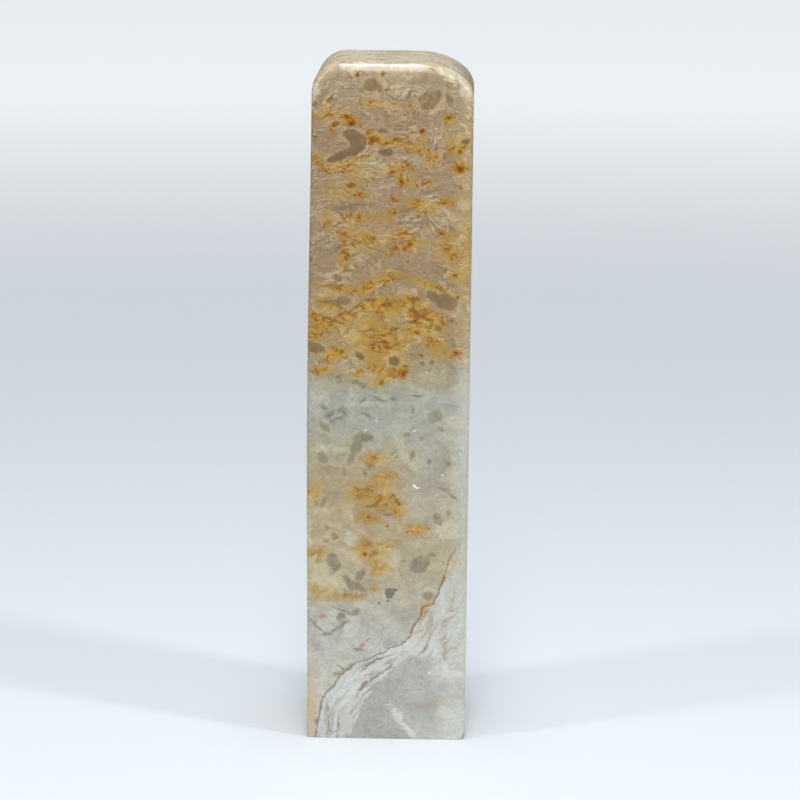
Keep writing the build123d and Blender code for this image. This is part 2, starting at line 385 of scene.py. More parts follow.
brown_places = [
    (-3.3, 8.5, 0.95, 0.4, 40), (-1.6, 9.9, 1.3, 0.25, 40), (0.2, 11.2, 1.5, 0.16, 40),
    (-3.9, 8.0, 0.5, 0.25, 40), (8.8, 25.5, 0.28, 0.9, -20), (9.6, 28.4, 0.13, 1.3, -20),
    (10.4, 29.8, 0.1, 1.1, -20), (5.9, 19.8, 0.1, 1.2, -40), (4.3, 66.8, 0.8, 0.5, -40),
    (5.9, 66.2, 0.5, 0.3, -20), (7.4, 65.0, 0.35, 0.5, 0), (-0.9, 68.3, 0.6, 0.3, 0),
    (2.4, 58.0, 0.6, 0.45, 0), (0.9, 58.5, 0.4, 0.3, 0), (-3.0, 93.4, 0.35, 0.6, 0),
    (3.2, 69.4, 0.5, 0.25, 20),
]
rust_places = [
    (-5.3, 103.5, 0.3, 0.3, 0), (-1.3, 103.8, 0.28, 0.28, 0), (-0.8, 101.3, 0.25, 0.2, 0),
    (-6.0, 96.2, 0.55, 0.42, 0), (-6.9, 97.3, 0.2, 0.3, 0), (4.7, 95.0, 0.38, 0.36, 0),
    (-11.6, 94.1, 0.35, 0.16, 0), (10.6, 89.4, 0.55, 0.5, 0), (2.7, 90.0, 0.26, 0.2, 0),
    (1.9, 89.7, 0.24, 0.2, 0), (3.4, 89.1, 0.22, 0.2, 0), (0.3, 88.8, 0.3, 0.24, 0),
    (1.7, 87.4, 0.3, 0.4, 40), (-9.8, 88.8, 0.32, 0.16, 0), (-6.2, 86.5, 0.22, 0.22, 0),
    (-4.8, 85.3, 0.3, 0.24, 0), (10.8, 86.6, 0.2, 0.16, 0), (4.1, 86.8, 0.2, 0.2, 0),
    (0.4, 84.7, 0.24, 0.22, 0), (8.1, 84.1, 0.3, 0.2, 0), (0.7, 82.6, 0.26, 0.22, 0),
    (-4.7, 81.8, 0.24, 0.26, 0), (7.8, 79.5, 0.24, 0.24, 0), (3.1, 77.7, 0.36, 0.3, 0),
    (-7.0, 79.2, 0.36, 0.24, 0), (-6.9, 77.6, 0.2, 0.16, 0), (-6.7, 75.8, 0.24, 0.2, 0),
    (9.0, 77.1, 0.24, 0.24, 0), (2.9, 75.1, 0.2, 0.2, 0), (8.4, 73.8, 0.2, 0.2, 0),
    (9.9, 73.1, 0.4, 0.22, 0), (10.4, 69.7, 0.22, 0.2, 0), (-7.8, 70.9, 0.24, 0.16, 0),
    (-12.1, 75.3, 0.16, 0.2, 0), (-0.8, 68.4, 0.5, 0.18, 0), (4.0, 66.0, 0.4, 0.28, -40),
    (5.2, 66.6, 0.4, 0.2, -40), (-11.8, 66.5, 0.22, 0.14, 0), (-0.3, 61.8, 0.4, 0.24, 0),
    (-2.4, 61.7, 0.2, 0.2, 0), (10.3, 61.1, 0.32, 0.34, 0), (5.0, 60.6, 0.2, 0.2, 0),
    (2.4, 57.8, 0.4, 0.4, 0), (-1.1, 56.3, 0.24, 0.24, 0), (-1.5, 37.7, 0.42, 0.16, 40),
    (-1.2, 38.6, 0.2, 0.2, 0), (-2.8, 35.3, 0.24, 0.2, 0), (0.1, 33.8, 0.2, 0.18, 0),
    (-3.4, 29.4, 0.24, 0.2, 0), (-12.1, 39.2, 0.16, 0.2, 0), (1.2, 36.0, 0.16, 0.16, 0),
    (-2.0, 44.6, 0.22, 0.2, 0),
]
coral_places = [
    (-3.6, 15.0, 0.45, 0.5, 0), (-2.6, 15.8, 0.6, 0.2, 40), (-9.9, 19.4, 0.6, 0.26, 0),
    (7.3, 21.7, 0.4, 0.2, 20),
]
pale_patches_and_highlight_places = [
    (-4.0, 91.6, 1.1, 0.4, -40), (-3.2, 90.7, 1.2, 0.25, -20), (-1.4, 90.1, 1.4, 0.16, 0),
    (4.0, 90.7, 1.4, 0.16, -20), (-1.2, 89.5, 1.6, 0.16, 0), (6.0, 84.6, 2.0, 0.3, -20),
    (10.4, 81.9, 2.2, 0.35, -20), (11.2, 84.3, 1.4, 0.9, 0), (4.6, 79.9, 2.0, 0.2, 0),
    (-9.6, 70.4, 1.3, 0.55, 0), (-9.0, 67.1, 1.6, 0.55, -20), (3.0, 70.5, 1.8, 0.25, 20),
    (0.6, 66.7, 1.2, 0.8, 0), (10.4, 66.9, 2.0, 0.4, -20), (-5.6, 74.8, 0.8, 0.3, 40),
    (10.4, 50.3, 1.8, 0.9, -20), (-3.6, 53.0, 2.6, 0.25, 0), (-10.8, 53.8, 1.6, 0.2, 20),
    (-8.0, 45.9, 3.0, 0.35, 0), (-11.4, 28.0, 1.0, 2.0, 0), (-7.0, 72.9, 0.3, 0.8, 0),
    (9.4, 33.4, 1.6, 1.6, 0), (6.8, 23.2, 1.3, 1.0, 20), (3.0, 2.3, 0.4, 3.0, 40),
    (1.9, 4.1, 0.9, 0.45, -40), (1.2, 14.2, 1.6, 0.35, 20), (-9.6, 24.8, 2.0, 1.4, 0),
    (-10.4, 26.8, 1.4, 2.4, 0), (-5.6, 31.6, 0.9, 1.2, 0), (-12.3, 30.0, 0.5, 7.0, 0),
    # These three are painted highlights: the bright rims of the right shoulder and down the left shoulder
    (11.6, 101.4, 1.1, 2.6, 20), (9.4, 103.8, 2.0, 0.8, -20), (-11.9, 100.6, 0.7, 2.4, -20),
]
mauve_places = [
    (-9.0, 93.6, 2.6, 1.9, 0), (-11.4, 96.1, 1.0, 0.9, 0), (-10.0, 84.6, 2.2, 2.6, 0),
    (-10.0, 81.0, 2.0, 1.4, 0), (5.4, 88.6, 2.6, 1.6, 0), (8.4, 86.6, 2.4, 1.2, -20),
    (9.3, 91.0, 2.0, 0.9, 0), (1.6, 96.8, 4.0, 1.6, 0), (-3.0, 73.4, 3.0, 1.5, 20),
    (3.6, 73.3, 2.2, 1.3, 20), (6.0, 74.6, 2.0, 1.4, 0), (-4.8, 83.6, 3.6, 0.8, 0),
    (-9.0, 75.2, 2.4, 1.6, 20), (0.0, 85.4, 1.6, 0.9, 0), (-2.0, 76.0, 3.0, 0.8, 0),
    (-1.8, 80.8, 1.3, 1.2, 0), (5.0, 76.8, 1.0, 1.2, 0),
]
# Painted highlights: the sparkle of small crystal faces, painted into the colour as bright spots
painted_glint_places = [
    (-1.75, 50.35, 0.16, 0.14, 0), (-3.4, 49.0, 0.1, 0.1, 0), (4.1, 48.95, 0.3, 0.12, 20),
    (3.6, 48.7, 0.12, 0.1, 0), (4.3, 40.3, 0.4, 0.16, -40), (4.8, 40.0, 0.35, 0.12, 20),
    (8.5, 42.0, 0.18, 0.12, 0), (5.2, 95.6, 0.14, 0.1, 0), (6.7, 95.6, 0.14, 0.12, 0),
    (6.8, 10.6, 0.12, 0.2, 0),
]
# The hairline above the white vein, and the edge of the grey wedge below it: points across and up
hairline_places = [
    (14.0, 37.0), (11.6, 33.2), (10.7, 31.0), (10.1, 29.3), (9.5, 27.9), (9.1, 26.4), (8.4, 24.5),
    (7.6, 22.3), (7.0, 21.6), (5.9, 21.1), (5.4, 19.8), (4.5, 18.3), (3.7, 16.4), (2.8, 15.4), (0.9, 14.6),
    (-0.1, 13.9), (-1.5, 13.3), (-3.0, 12.5), (-4.6, 12.0), (-5.8, 11.0), (-6.8, 10.2), (-7.5, 9.4),
    (-8.0, 8.4), (-9.3, 7.0), (-9.8, 5.8), (-10.3, 3.5), (-10.6, 1.5), (-10.9, -2.0),
]
wedge_places = [
    (-6.6, -2.0), (-5.5, 0.4), (-4.7, 2.0), (-3.8, 4.5), (-3.0, 6.0), (-2.2, 7.3), (-1.2, 8.8), (0.5, 10.5),
    (2.2, 12.2), (3.5, 13.0), (6.0, 12.9), (9.0, 12.0), (12.0, 11.0), (15.0, 9.6),
]

front = low.y / MM
smooth = {"interpolation_type": "SMOOTHSTEP"}
# Farther from a mark, in millimetres, than it is ever felt
far_off = 9.0
# A node is slower to add, the more its tree already holds
places_to_a_group = 24

# How the vein leans, in degrees, and where its curves start and end along it and reach to off it, in
# millimetres
lean_of_vein = 55
vein_start, vein_end = -10.0, 45.0
vein_reach = 15.0

# How much light the polish throws back, and the darkest that the stone gets beneath it
gloss = 0.03
darkest = (0.005, 0.004, 0.002)

# The skin's points in millimetres, and the waves that move the marks on them: a slow one of up to 0.45 mm
# and a quick one of up to 0.2 mm. Without a seed, noise_vector gives other waves on each run.
wave_seed = 2
noise.seed_set(wave_seed)
skin_points = [vertex.co / MM for vertex in seal.data.vertices]
skin_waves = [0.45 * noise.noise_vector(p * 0.9) + 0.2 * noise.noise_vector(p * 2.6) for p in skin_points]
skin_points, skin_waves = numpy.array(skin_points), numpy.array(skin_waves)


def nearest(tree, place, places):
    """How far a point is from the nearest of the places, where 1 is the edge of each."""
    result = None
    for start in range(0, len(places), places_to_a_group):
        group = bpy.data.node_groups.new("places", "ShaderNodeTree")
        group.interface.new_socket("Place", in_out="INPUT", socket_type="NodeSocketVector")
        group.interface.new_socket("Nearest", in_out="OUTPUT", socket_type="NodeSocketFloat")
        point = group.nodes.new("NodeGroupInput").outputs["Place"]
        leaning = {0: point}
        shortest = None
        for across, up, half_width, half_height, lean in places[start:start + places_to_a_group]:
            turn = math.radians(lean)
            if lean not in leaning:
                leaning[lean] = add(group, "VectorRotate", {"rotation_type": "Y_AXIS"}, {
                    "Vector": point, "Center": (0, 0, 0), "Angle": turn,
                })
            middle_across = across * math.cos(turn) + up * math.sin(turn)
            middle_up = up * math.cos(turn) - across * math.sin(turn)
            half_depth = max(half_width, half_height)
            scale = (1 / half_width, 1 / half_depth, 1 / half_height)
            shift = (-middle_across / half_width, -front / half_depth, -middle_up / half_height)
            offset = add(group, "VectorMath", {"operation": "MULTIPLY_ADD"}, {
                0: leaning[lean], 1: scale, 2: shift,
            })
            away = add(group, "VectorMath", {"operation": "LENGTH"}, {0: offset})
            if shortest:
                away = add(group, "Math", {"operation": "MINIMUM"}, {0: shortest, 1: away})
            shortest = away
        found = next(output for output in shortest.outputs if output.enabled)
        group.links.new(found, group.nodes.new("NodeGroupOutput").inputs[0])
        here = add(tree, "Group", {"node_tree": group}, {"Place": place})
        if result:
            here = add(tree, "Math", {"operation": "MINIMUM"}, {0: result, 1: here})
        result = here
    return result


def lay_on(piece, name, places, depth_share, wander):
    """Gives each point of the skin its distance in millimetres from the edge of the nearest place."""
    warped = skin_points + wander * skin_waves
    spots = numpy.array(places)
    turn = numpy.radians(spots[:, 4])
    depth = depth_share * numpy.maximum(spots[:, 2], spots[:, 3])
    nearest_edge = numpy.full(len(skin_points), far_off)
    for (across, up, half_width, half_height, _), angle, half_depth in zip(spots, turn, depth):
        by_front = numpy.nonzero(abs(warped[:, 1] - front) < 3 * half_depth)[0]
        x, y, z = (warped[by_front] - (across, front, up)).T
        along = (x * math.cos(angle) + z * math.sin(angle)) / half_width
        over = (z * math.cos(angle) - x * math.sin(angle)) / half_height
        away = numpy.sqrt(along ** 2 + over ** 2 + (y / half_depth) ** 2)
        edge = (away - 1) * min(half_width, half_height)
        nearest_edge[by_front] = numpy.minimum(nearest_edge[by_front], edge)
    piece.data.attributes.new(name, "FLOAT", "POINT").data.foreach_set("value", nearest_edge)


def along_vein(places):
    """Places of a line as points of a curve, in the frame that leans with the vein."""
    turn = math.radians(lean_of_vein)
    points = []
    for across, up in places:
        along = across * math.cos(turn) + up * math.sin(turn)
        off = up * math.cos(turn) - across * math.sin(turn)
        run = (along - vein_start) / (vein_end - vein_start)
        points.append((run, (off + vein_reach) / (2 * vein_reach)))
    return sorted(points)


def moved(tree, place, noise, reach):
    """A place moved by a noise's colour, by up to about half the reach each way."""
    centred = add(tree, "VectorMath", {"operation": "SUBTRACT"}, {
        0: noise.outputs["Color"], 1: (0.5, 0.5, 0.5),
    })
    return add(tree, "VectorMath", {"operation": "MULTIPLY_ADD"}, {0: centred, 1: reach, 2: place})


# The larger marks, as attributes of the skin
lay_on(seal, "mauve", mauve_places, 1.0, 1.5)
lay_on(seal, "pale", pale_patches_and_highlight_places, 1.0, 1.0)
lay_on(seal, "haze", ochre_haze_places, 1.2, 1.3)
lay_on(seal, "ochre", ochre_places, 1.2, 1.0)
lay_on(seal, "pebble", pebble_places, 1.0, 0.6)

# Chalcedony, cloudy with clay and stained by iron, ground flat and polished by hand: the colours lie still
# and matt in the stone, under a glassy skin that shows soft reflections along the rims
stone = bpy.data.materials.new("polished_ochre_stained_chalcedony")
stone.use_nodes = True
tree = stone.node_tree
principled = tree.nodes["Principled BSDF"]

place = add(tree, "VectorMath", {"operation": "SCALE"}, {
    0: add(tree, "TexCoord", {}, {}).outputs["Object"], "Scale": 1 / MM,
})
drift = add(tree, "TexNoise", {}, {"Vector": place, "Scale": 0.17, "Detail": 2.0})
ripple = add(tree, "TexNoise", {}, {"Vector": place, "Scale": 1.1, "Detail": 2.0})
fray = add(tree, "TexNoise", {}, {"Vector": place, "Scale": 4.5, "Detail": 2.0})

# Places moved by the waves: the zones most, the beds and the stains in them less, the small marks least
drifted = moved(tree, place, drift, (6, 6, 7))
zone_place = moved(tree, drifted, ripple, (1.5, 1.5, 1.5))
bed_zone = moved(tree, drifted, ripple, (0.6, 0.6, 0.6))
spot_place = moved(tree, moved(tree, place, ripple, (0.8, 0.8, 0.7)), fray, (0.5, 0.5, 0.45))
zone = add(tree, "SeparateXYZ", {}, {0: zone_place})
plain = add(tree, "SeparateXYZ", {}, {0: place})
spot = add(tree, "SeparateXYZ", {}, {0: spot_place})
height_share = add(tree, "Math", {"operation": "MULTIPLY"}, {0: zone.outputs["Z"], 1: MM / size.z})
plain_height_share = add(tree, "Math", {"operation": "MULTIPLY"}, {0: plain.outputs["Z"], 1: MM / size.z})
# 0 on the polished front, where the places were read, and 1 from a few millimetres behind it
behind = add(tree, "MapRange", smooth, {0: plain.outputs["Y"], 1: front + 0.8, 2: front + 4.5})

# The ground: mauve and beige above, a cool grey band at half height, warm grey below
ground = add(tree, "ValToRGB", {"stops": [
    (0.00, "#b4b2a9"), (0.11, "#c0bfb3"), (0.15, "#b8b6ab"), (0.18, "#b2afa3"), (0.22, "#b0a890"),
    (0.28, "#b1a385"), (0.34, "#ad9d7d"), (0.39, "#a99a7a"), (0.43, "#ada387"), (0.465, "#a5a498"),
    (0.51, "#a5a598"), (0.54, "#a59b82"), (0.58, "#a5936f"), (0.64, "#a69172"), (0.70, "#a08b6c"),
    (0.78, "#aa9376"), (0.86, "#a99276"), (0.93, "#ad987c"), (1.00, "#b8a484"),
]}, {0: height_share})
clouds = add(tree, "TexNoise", {}, {"Vector": zone_place, "Scale": 0.3, "Detail": 4.0, "Roughness": 0.55})
# Just below half height the right side is greyer
greyer = add(tree, "MapRange", smooth, {0: zone.outputs["X"], 1: 0.0, 2: 7.0, 3: 0.0, 4: 0.65})
grey_height = add(tree, "ValToRGB", {"stops": [
    (0.27, 0.0), (0.36, 1.0), (0.46, 1.0), (0.54, 0.0),
]}, {0: height_share})
greyer = add(tree, "Math", {"operation": "MULTIPLY"}, {0: greyer, 1: grey_height})
ground = add(tree, "Mix", {"data_type": "RGBA"}, {0: greyer, 1: ground, 2: linear("#adaa9d")})
cloud_light = add(tree, "MapRange", {}, {0: clouds, 1: 0.3, 2: 0.7, 3: 0.80, 4: 1.20})
colour = add(tree, "VectorMath", {"operation": "SCALE"}, {0: ground, "Scale": cloud_light})

# Bedding: wavy filaments, much longer than thick, strongest in the upper half
bed_place = add(tree, "VectorMath", {"operation": "MULTIPLY"}, {0: bed_zone, 1: (0.34, 0.34, 1.0)})
bedding = add(tree, "TexNoise", {}, {"Vector": bed_place, "Scale": 0.85, "Detail": 5.0, "Roughness": 0.65})
threads = add(tree, "TexNoise", {}, {
    "Vector": bed_place, "Scale": 1.5, "Detail": 4.0, "Roughness": 0.6, "Distortion": 0.25,
})
bed_share = add(tree, "ValToRGB", {"stops": [
    (0.0, 0.15), (0.40, 0.2), (0.47, 0.15), (0.53, 0.25), (0.58, 0.8), (0.95, 0.9), (1.0, 0.7),
]}, {0: plain_height_share})
bed_patches = add(tree, "MapRange", smooth, {0: clouds, 1: 0.40, 2: 0.58, 3: 0.4, 4: 1.0})
bed_share = add(tree, "Math", {"operation": "MULTIPLY"}, {0: bed_share, 1: bed_patches})
dark_bed = add(tree, "MapRange", smooth, {0: bedding, 1: 0.48, 2: 0.62, 3: 0.0, 4: 0.66})
dark_bed = add(tree, "Math", {"operation": "MULTIPLY"}, {0: dark_bed, 1: bed_share})
colour = add(tree, "Mix", {"data_type": "RGBA"}, {0: dark_bed, 1: colour, 2: linear("#7f6e56")})
light_bed = add(tree, "MapRange", smooth, {0: bedding, 1: 0.46, 2: 0.33, 3: 0.0, 4: 0.66})
light_bed = add(tree, "Math", {"operation": "MULTIPLY"}, {0: light_bed, 1: bed_share})
colour = add(tree, "Mix", {"data_type": "RGBA"}, {0: light_bed, 1: colour, 2: linear("#c8b897")})
thread_off = add(tree, "Math", {"operation": "SUBTRACT"}, {0: threads, 1: 0.5})
thread_off = add(tree, "Math", {"operation": "ABSOLUTE"}, {0: thread_off})
thread_share = add(tree, "MapRange", smooth, {0: thread_off, 1: 0.07, 2: 0.0, 3: 0.0, 4: 0.34})
thread_share = add(tree, "Math", {"operation": "MULTIPLY"}, {0: thread_share, 1: bed_share})
colour = add(tree, "Mix", {"data_type": "RGBA"}, {0: thread_share, 1: colour, 2: linear("#6f5c42")})
pale_thread = add(tree, "Math", {"operation": "SUBTRACT"}, {0: threads, 1: 0.41})
pale_thread = add(tree, "Math", {"operation": "ABSOLUTE"}, {0: pale_thread})
pale_thread = add(tree, "MapRange", smooth, {0: pale_thread, 1: 0.06, 2: 0.0, 3: 0.0, 4: 0.40})
pale_thread = add(tree, "Math", {"operation": "MULTIPLY"}, {0: pale_thread, 1: bed_share})
colour = add(tree, "Mix", {"data_type": "RGBA"}, {0: pale_thread, 1: colour, 2: linear("#d3c5a6")})

# Mauve lenses in the beds
mauve = add(tree, "Attribute", {"attribute_name": "mauve"}, {}).outputs["Fac"]
bed_wave = add(tree, "MapRange", {}, {0: bedding, 1: 0.3, 2: 0.7, 3: -1.0, 4: 1.0})
mauve = add(tree, "Math", {"operation": "ADD"}, {0: mauve, 1: bed_wave})
mauve_share = add(tree, "MapRange", smooth, {0: mauve, 1: 0.5, 2: -0.5, 3: 0.0, 4: 0.65})
colour = add(tree, "Mix", {"data_type": "RGBA"}, {0: mauve_share, 1: colour, 2: linear("#9c8265")})

# The white vein: a frame that leans with it, tilted a little from front to back
vein_place = add(tree, "VectorRotate", {"rotation_type": "Y_AXIS"}, {
    "Vector": moved(tree, moved(tree, place, ripple, (0.7, 0.7, 0.7)), fray, (0.35, 0.35, 0.35)),
    "Center": (0, 0, 0), "Angle": math.radians(lean_of_vein),
})
vein = add(tree, "SeparateXYZ", {}, {0: vein_place})
along = add(tree, "MapRange", {}, {0: vein.outputs["X"], 1: vein_start, 2: vein_end})
tilt = add(tree, "Math", {"operation": "MULTIPLY_ADD"}, {0: plain.outputs["Y"], 1: 0.22, 2: -0.22 * front})
off_vein = add(tree, "Math", {"operation": "ADD"}, {0: vein.outputs["Z"], 1: tilt})
hairline = add(tree, "FloatCurve", {"points": along_vein(hairline_places)}, {"Value": along})
hairline = add(tree, "MapRange", {"clamp": False}, {0: hairline, 3: -vein_reach, 4: vein_reach})
wedge = add(tree, "FloatCurve", {"points": along_vein(wedge_places)}, {"Value": along})
wedge = add(tree, "MapRange", {"clamp": False}, {0: wedge, 3: -vein_reach, 4: vein_reach})
past_hairline = add(tree, "Math", {"operation": "SUBTRACT"}, {0: off_vein, 1: hairline})
past_wedge = add(tree, "Math", {"operation": "SUBTRACT"}, {0: off_vein, 1: wedge})
wedge_edge = add(tree, "MapRange", smooth, {0: vein.outputs["X"], 1: 11.5, 2: 15.0, 3: 0.12, 4: 3.0})
vein_share = add(tree, "MapRange", smooth, {0: past_hairline, 1: 0.06, 2: -0.06})
vein_top = add(tree, "MapRange", smooth, {0: zone.outputs["Z"], 1: 30.0, 2: 19.0})
vein_share = add(tree, "Math", {"operation": "MULTIPLY"}, {0: vein_share, 1: vein_top})
wedge_start = add(tree, "Math", {"operation": "MULTIPLY"}, {0: wedge_edge, 1: -1.0})
wedge_share = add(tree, "MapRange", smooth, {0: past_wedge, 1: wedge_edge, 2: wedge_start})

streak_place = add(tree, "CombineXYZ", {}, {0: vein.outputs["X"], 1: plain.outputs["Y"], 2: past_hairline})
streak_place = add(tree, "VectorMath", {"operation": "MULTIPLY"}, {0: streak_place, 1: (0.2, 0.35, 1.1)})
streaks = add(tree, "TexNoise", {}, {"Vector": streak_place, "Scale": 1.3, "Detail": 4.0, "Roughness": 0.6})
vein_colour = add(tree, "ValToRGB", {"stops": [
    (0.32, "#d0d1cd"), (0.46, "#c7c8c2"), (0.56, "#bebdb4"), (0.63, "#a8a598"), (0.72, "#8f897b"),
]}, {0: streaks})
colour = add(tree, "Mix", {"data_type": "RGBA"}, {0: vein_share, 1: colour, 2: vein_colour})
above_wedge = add(tree, "MapRange", smooth, {0: vein.outputs["X"], 1: 14.0, 2: 19.0, 3: 0.0, 4: 0.75})
above_wedge = add(tree, "Math", {"operation": "MULTIPLY"}, {0: above_wedge, 1: vein_share})
upper_colour = add(tree, "ValToRGB", {"stops": [
    (0.34, "#c7c9c4"), (0.48, "#c0bfb6"), (0.57, "#bdb4a2"), (0.68, "#b0a796"),
]}, {0: streaks})
colour = add(tree, "Mix", {"data_type": "RGBA"}, {0: above_wedge, 1: colour, 2: upper_colour})
wedge_clouds = add(tree, "TexNoise", {}, {"Vector": zone_place, "Scale": 0.22, "Detail": 3.0})
wedge_side = add(tree, "MapRange", {}, {0: plain.outputs["X"], 1: 3.0, 2: 10.0, 3: -0.14, 4: 0.26})
wedge_clouds = add(tree, "Math", {"operation": "ADD"}, {0: wedge_clouds, 1: wedge_side})
wedge_colour = add(tree, "ValToRGB", {"stops": [
    (0.26, "#a5a49c"), (0.46, "#adaca5"), (0.66, "#bab9af"), (0.86, "#cbccc4"),
]}, {0: wedge_clouds})
colour = add(tree, "Mix", {"data_type": "RGBA"}, {0: wedge_share, 1: colour, 2: wedge_colour})

# Cream along the lower left edge, and painted light down the right edge: a paler band near the front for
# light shining through the edge
left_strip = add(tree, "MapRange", smooth, {0: zone.outputs["X"], 1: -9.0, 2: -11.8})
strip_height = add(tree, "MapRange", smooth, {0: zone.outputs["Z"], 1: 15.0, 2: 8.0, 3: 0.0, 4: 0.75})
left_strip = add(tree, "Math", {"operation": "MULTIPLY"}, {0: left_strip, 1: strip_height})
above_vein = add(tree, "MapRange", smooth, {0: past_hairline, 1: -0.1, 2: 0.4})
left_strip = add(tree, "Math", {"operation": "MULTIPLY"}, {0: left_strip, 1: above_vein})
strip_colour = add(tree, "ValToRGB", {"stops": [
    (0.35, "#bdb49c"), (0.50, "#cbb792"), (0.62, "#c6ab84"),
]}, {0: clouds})
colour = add(tree, "Mix", {"data_type": "RGBA"}, {0: left_strip, 1: colour, 2: strip_colour})
# Painted light: the glow of light through the right edge, paler towards the front
painted_right_edge_glow = add(tree, "MapRange", smooth, {0: spot.outputs["X"], 1: 9.4, 2: 12.2})
edge_glow_height = add(tree, "ValToRGB", {"stops": [
    (0.0, 0.3), (0.2, 0.6), (0.55, 0.6), (0.62, 0.4), (1.0, 0.45),
]}, {0: plain_height_share})
painted_right_edge_glow = add(tree, "Math", {"operation": "MULTIPLY"}, {0: painted_right_edge_glow, 1: edge_glow_height})
near_front = add(tree, "MapRange", smooth, {
    0: spot.outputs["Y"], 1: front + 1.5, 2: front + 7.0, 3: 1.0, 4: 0.15,
})
painted_right_edge_glow = add(tree, "Math", {"operation": "MULTIPLY"}, {0: painted_right_edge_glow, 1: near_front})
edge_glow_colour = add(tree, "ValToRGB", {"stops": [
    (0.52, "#c8c9be"), (0.62, "#ccb482"),
]}, {0: plain_height_share})
colour = add(tree, "Mix", {"data_type": "RGBA"}, {0: painted_right_edge_glow, 1: colour, 2: edge_glow_colour})

# White and cream patches, and painted highlights on the shoulder rims laid in as pale patches; the palest
# colour near the top whitens them
thread_wave = add(tree, "MapRange", {}, {0: threads, 1: 0.3, 2: 0.7, 3: -0.35, 4: 0.35})
pale = add(tree, "Attribute", {"attribute_name": "pale"}, {}).outputs["Fac"]
pale = add(tree, "Math", {"operation": "ADD"}, {0: pale, 1: thread_wave})
pale_and_highlight_share = add(tree, "MapRange", smooth, {0: pale, 1: 0.35, 2: -0.3, 3: 0.0, 4: 0.62})
pale_and_highlight_colour = add(tree, "ValToRGB", {"stops": [
    (0.08, "#dcded9"), (0.16, "#cdcec7"), (0.25, "#c6b994"), (0.31, "#c4bea6"),
    (0.55, "#c2bda6"), (0.60, "#bdaa84"), (0.91, "#bfae8a"), (0.96, "#d3c8b0"),
]}, {0: plain_height_share})
colour = add(tree, "Mix", {"data_type": "RGBA"}, {0: pale_and_highlight_share, 1: colour, 2: pale_and_highlight_colour})

# The ground end is creamier, behind the front rim: partly the stone's own colour, partly painted light, the
# top painted paler where it is lit from above
creamy_end_and_top_light_share = add(tree, "MapRange", smooth, {0: zone.outputs["Z"], 1: 102.5, 2: 106.5, 3: 0.0, 4: 0.85})
behind_rim = add(tree, "MapRange", smooth, {
    0: plain.outputs["Y"], 1: front + 0.6, 2: front + 2.4, 3: 0.45, 4: 1.0,
})
creamy_end_and_top_light_share = add(tree, "Math", {"operation": "MULTIPLY"}, {0: creamy_end_and_top_light_share, 1: behind_rim})
colour = add(tree, "Mix", {"data_type": "RGBA"}, {0: creamy_end_and_top_light_share, 1: colour, 2: linear("#dfceb0")})

# Ochre haze: iron stain soaked into the beds
stain_place = add(tree, "VectorMath", {"operation": "MULTIPLY"}, {0: bed_zone, 1: (0.6, 0.6, 1.0)})
stain_noise = add(tree, "TexNoise", {}, {
    "Vector": stain_place, "Scale": 0.32, "Detail": 4.0, "Roughness": 0.6,
})
stain_height = add(tree, "ValToRGB", {"stops": [
    (0.0, 0.0), (0.19, 0.0), (0.22, 0.75), (0.29, 0.85), (0.36, 0.9), (0.42, 0.6), (0.45, 0.0), (0.525, 0.0),
    (0.56, 0.85), (0.60, 1.0), (0.90, 1.0), (1.0, 0.86),
]}, {0: height_share})
stain_random = add(tree, "Math", {"operation": "MULTIPLY"}, {0: stain_noise, 1: stain_height})
stain_random = add(tree, "MapRange", {"clamp": False}, {0: stain_random, 1: 0.52, 2: 0.66, 3: 0.4, 4: -1.0})
haze = add(tree, "Attribute", {"attribute_name": "haze"}, {}).outputs["Fac"]
haze = add(tree, "Mix", {}, {0: behind, 1: haze, 2: stain_random})
haze = add(tree, "Math", {"operation": "ADD"}, {0: haze, 1: bed_wave})
haze_share = add(tree, "MapRange", smooth, {0: haze, 1: 0.8, 2: -0.6, 3: 0.0, 4: 0.85})
haze_strength = add(tree, "ValToRGB", {"stops": [
    (0.10, 0.22), (0.18, 0.8), (0.52, 1.0), (0.665, 1.0), (0.70, 0.75), (1.0, 0.75),
]}, {0: plain_height_share})
haze_share = add(tree, "Math", {"operation": "MULTIPLY"}, {0: haze_share, 1: haze_strength})
haze_colour = add(tree, "ValToRGB", {"stops": [
    (0.34, "#aa833a"), (0.50, "#b28d45"), (0.62, "#ba9b5a"),
]}, {0: clouds})
colour = add(tree, "Mix", {"data_type": "RGBA"}, {0: haze_share, 1: colour, 2: haze_colour})

# Ochre patches: where the iron settled, in clusters and along the beds
patch_random = add(tree, "TexNoise", {}, {"Vector": bed_place, "Scale": 0.7, "Detail": 4.0, "Roughness": 0.6})
patch_random = add(tree, "Math", {"operation": "MULTIPLY"}, {0: patch_random, 1: stain_height})
patch_random = add(tree, "MapRange", {"clamp": False}, {0: patch_random, 1: 0.58, 2: 0.70, 3: 0.3, 4: -0.4})
ochre = add(tree, "Attribute", {"attribute_name": "ochre"}, {}).outputs["Fac"]
ochre = add(tree, "Mix", {}, {0: behind, 1: ochre, 2: patch_random})
mottle = add(tree, "TexNoise", {}, {"Vector": stain_place, "Scale": 1.7, "Detail": 5.0, "Roughness": 0.68})
mottle_wave = add(tree, "MapRange", {}, {0: mottle, 1: 0.32, 2: 0.68, 3: -0.6, 4: 0.6})
ochre_loose = add(tree, "Math", {"operation": "ADD"}, {0: ochre, 1: mottle_wave})
ochre_share = add(tree, "MapRange", smooth, {0: ochre_loose, 1: 0.5, 2: -0.35, 3: 0.0, 4: 0.95})
ochre_strength = add(tree, "ValToRGB", {"stops": [
    (0.25, 0.45), (0.45, 0.65), (0.56, 1.0),
]}, {0: plain_height_share})
ochre_share = add(tree, "Math", {"operation": "MULTIPLY"}, {0: ochre_share, 1: ochre_strength})
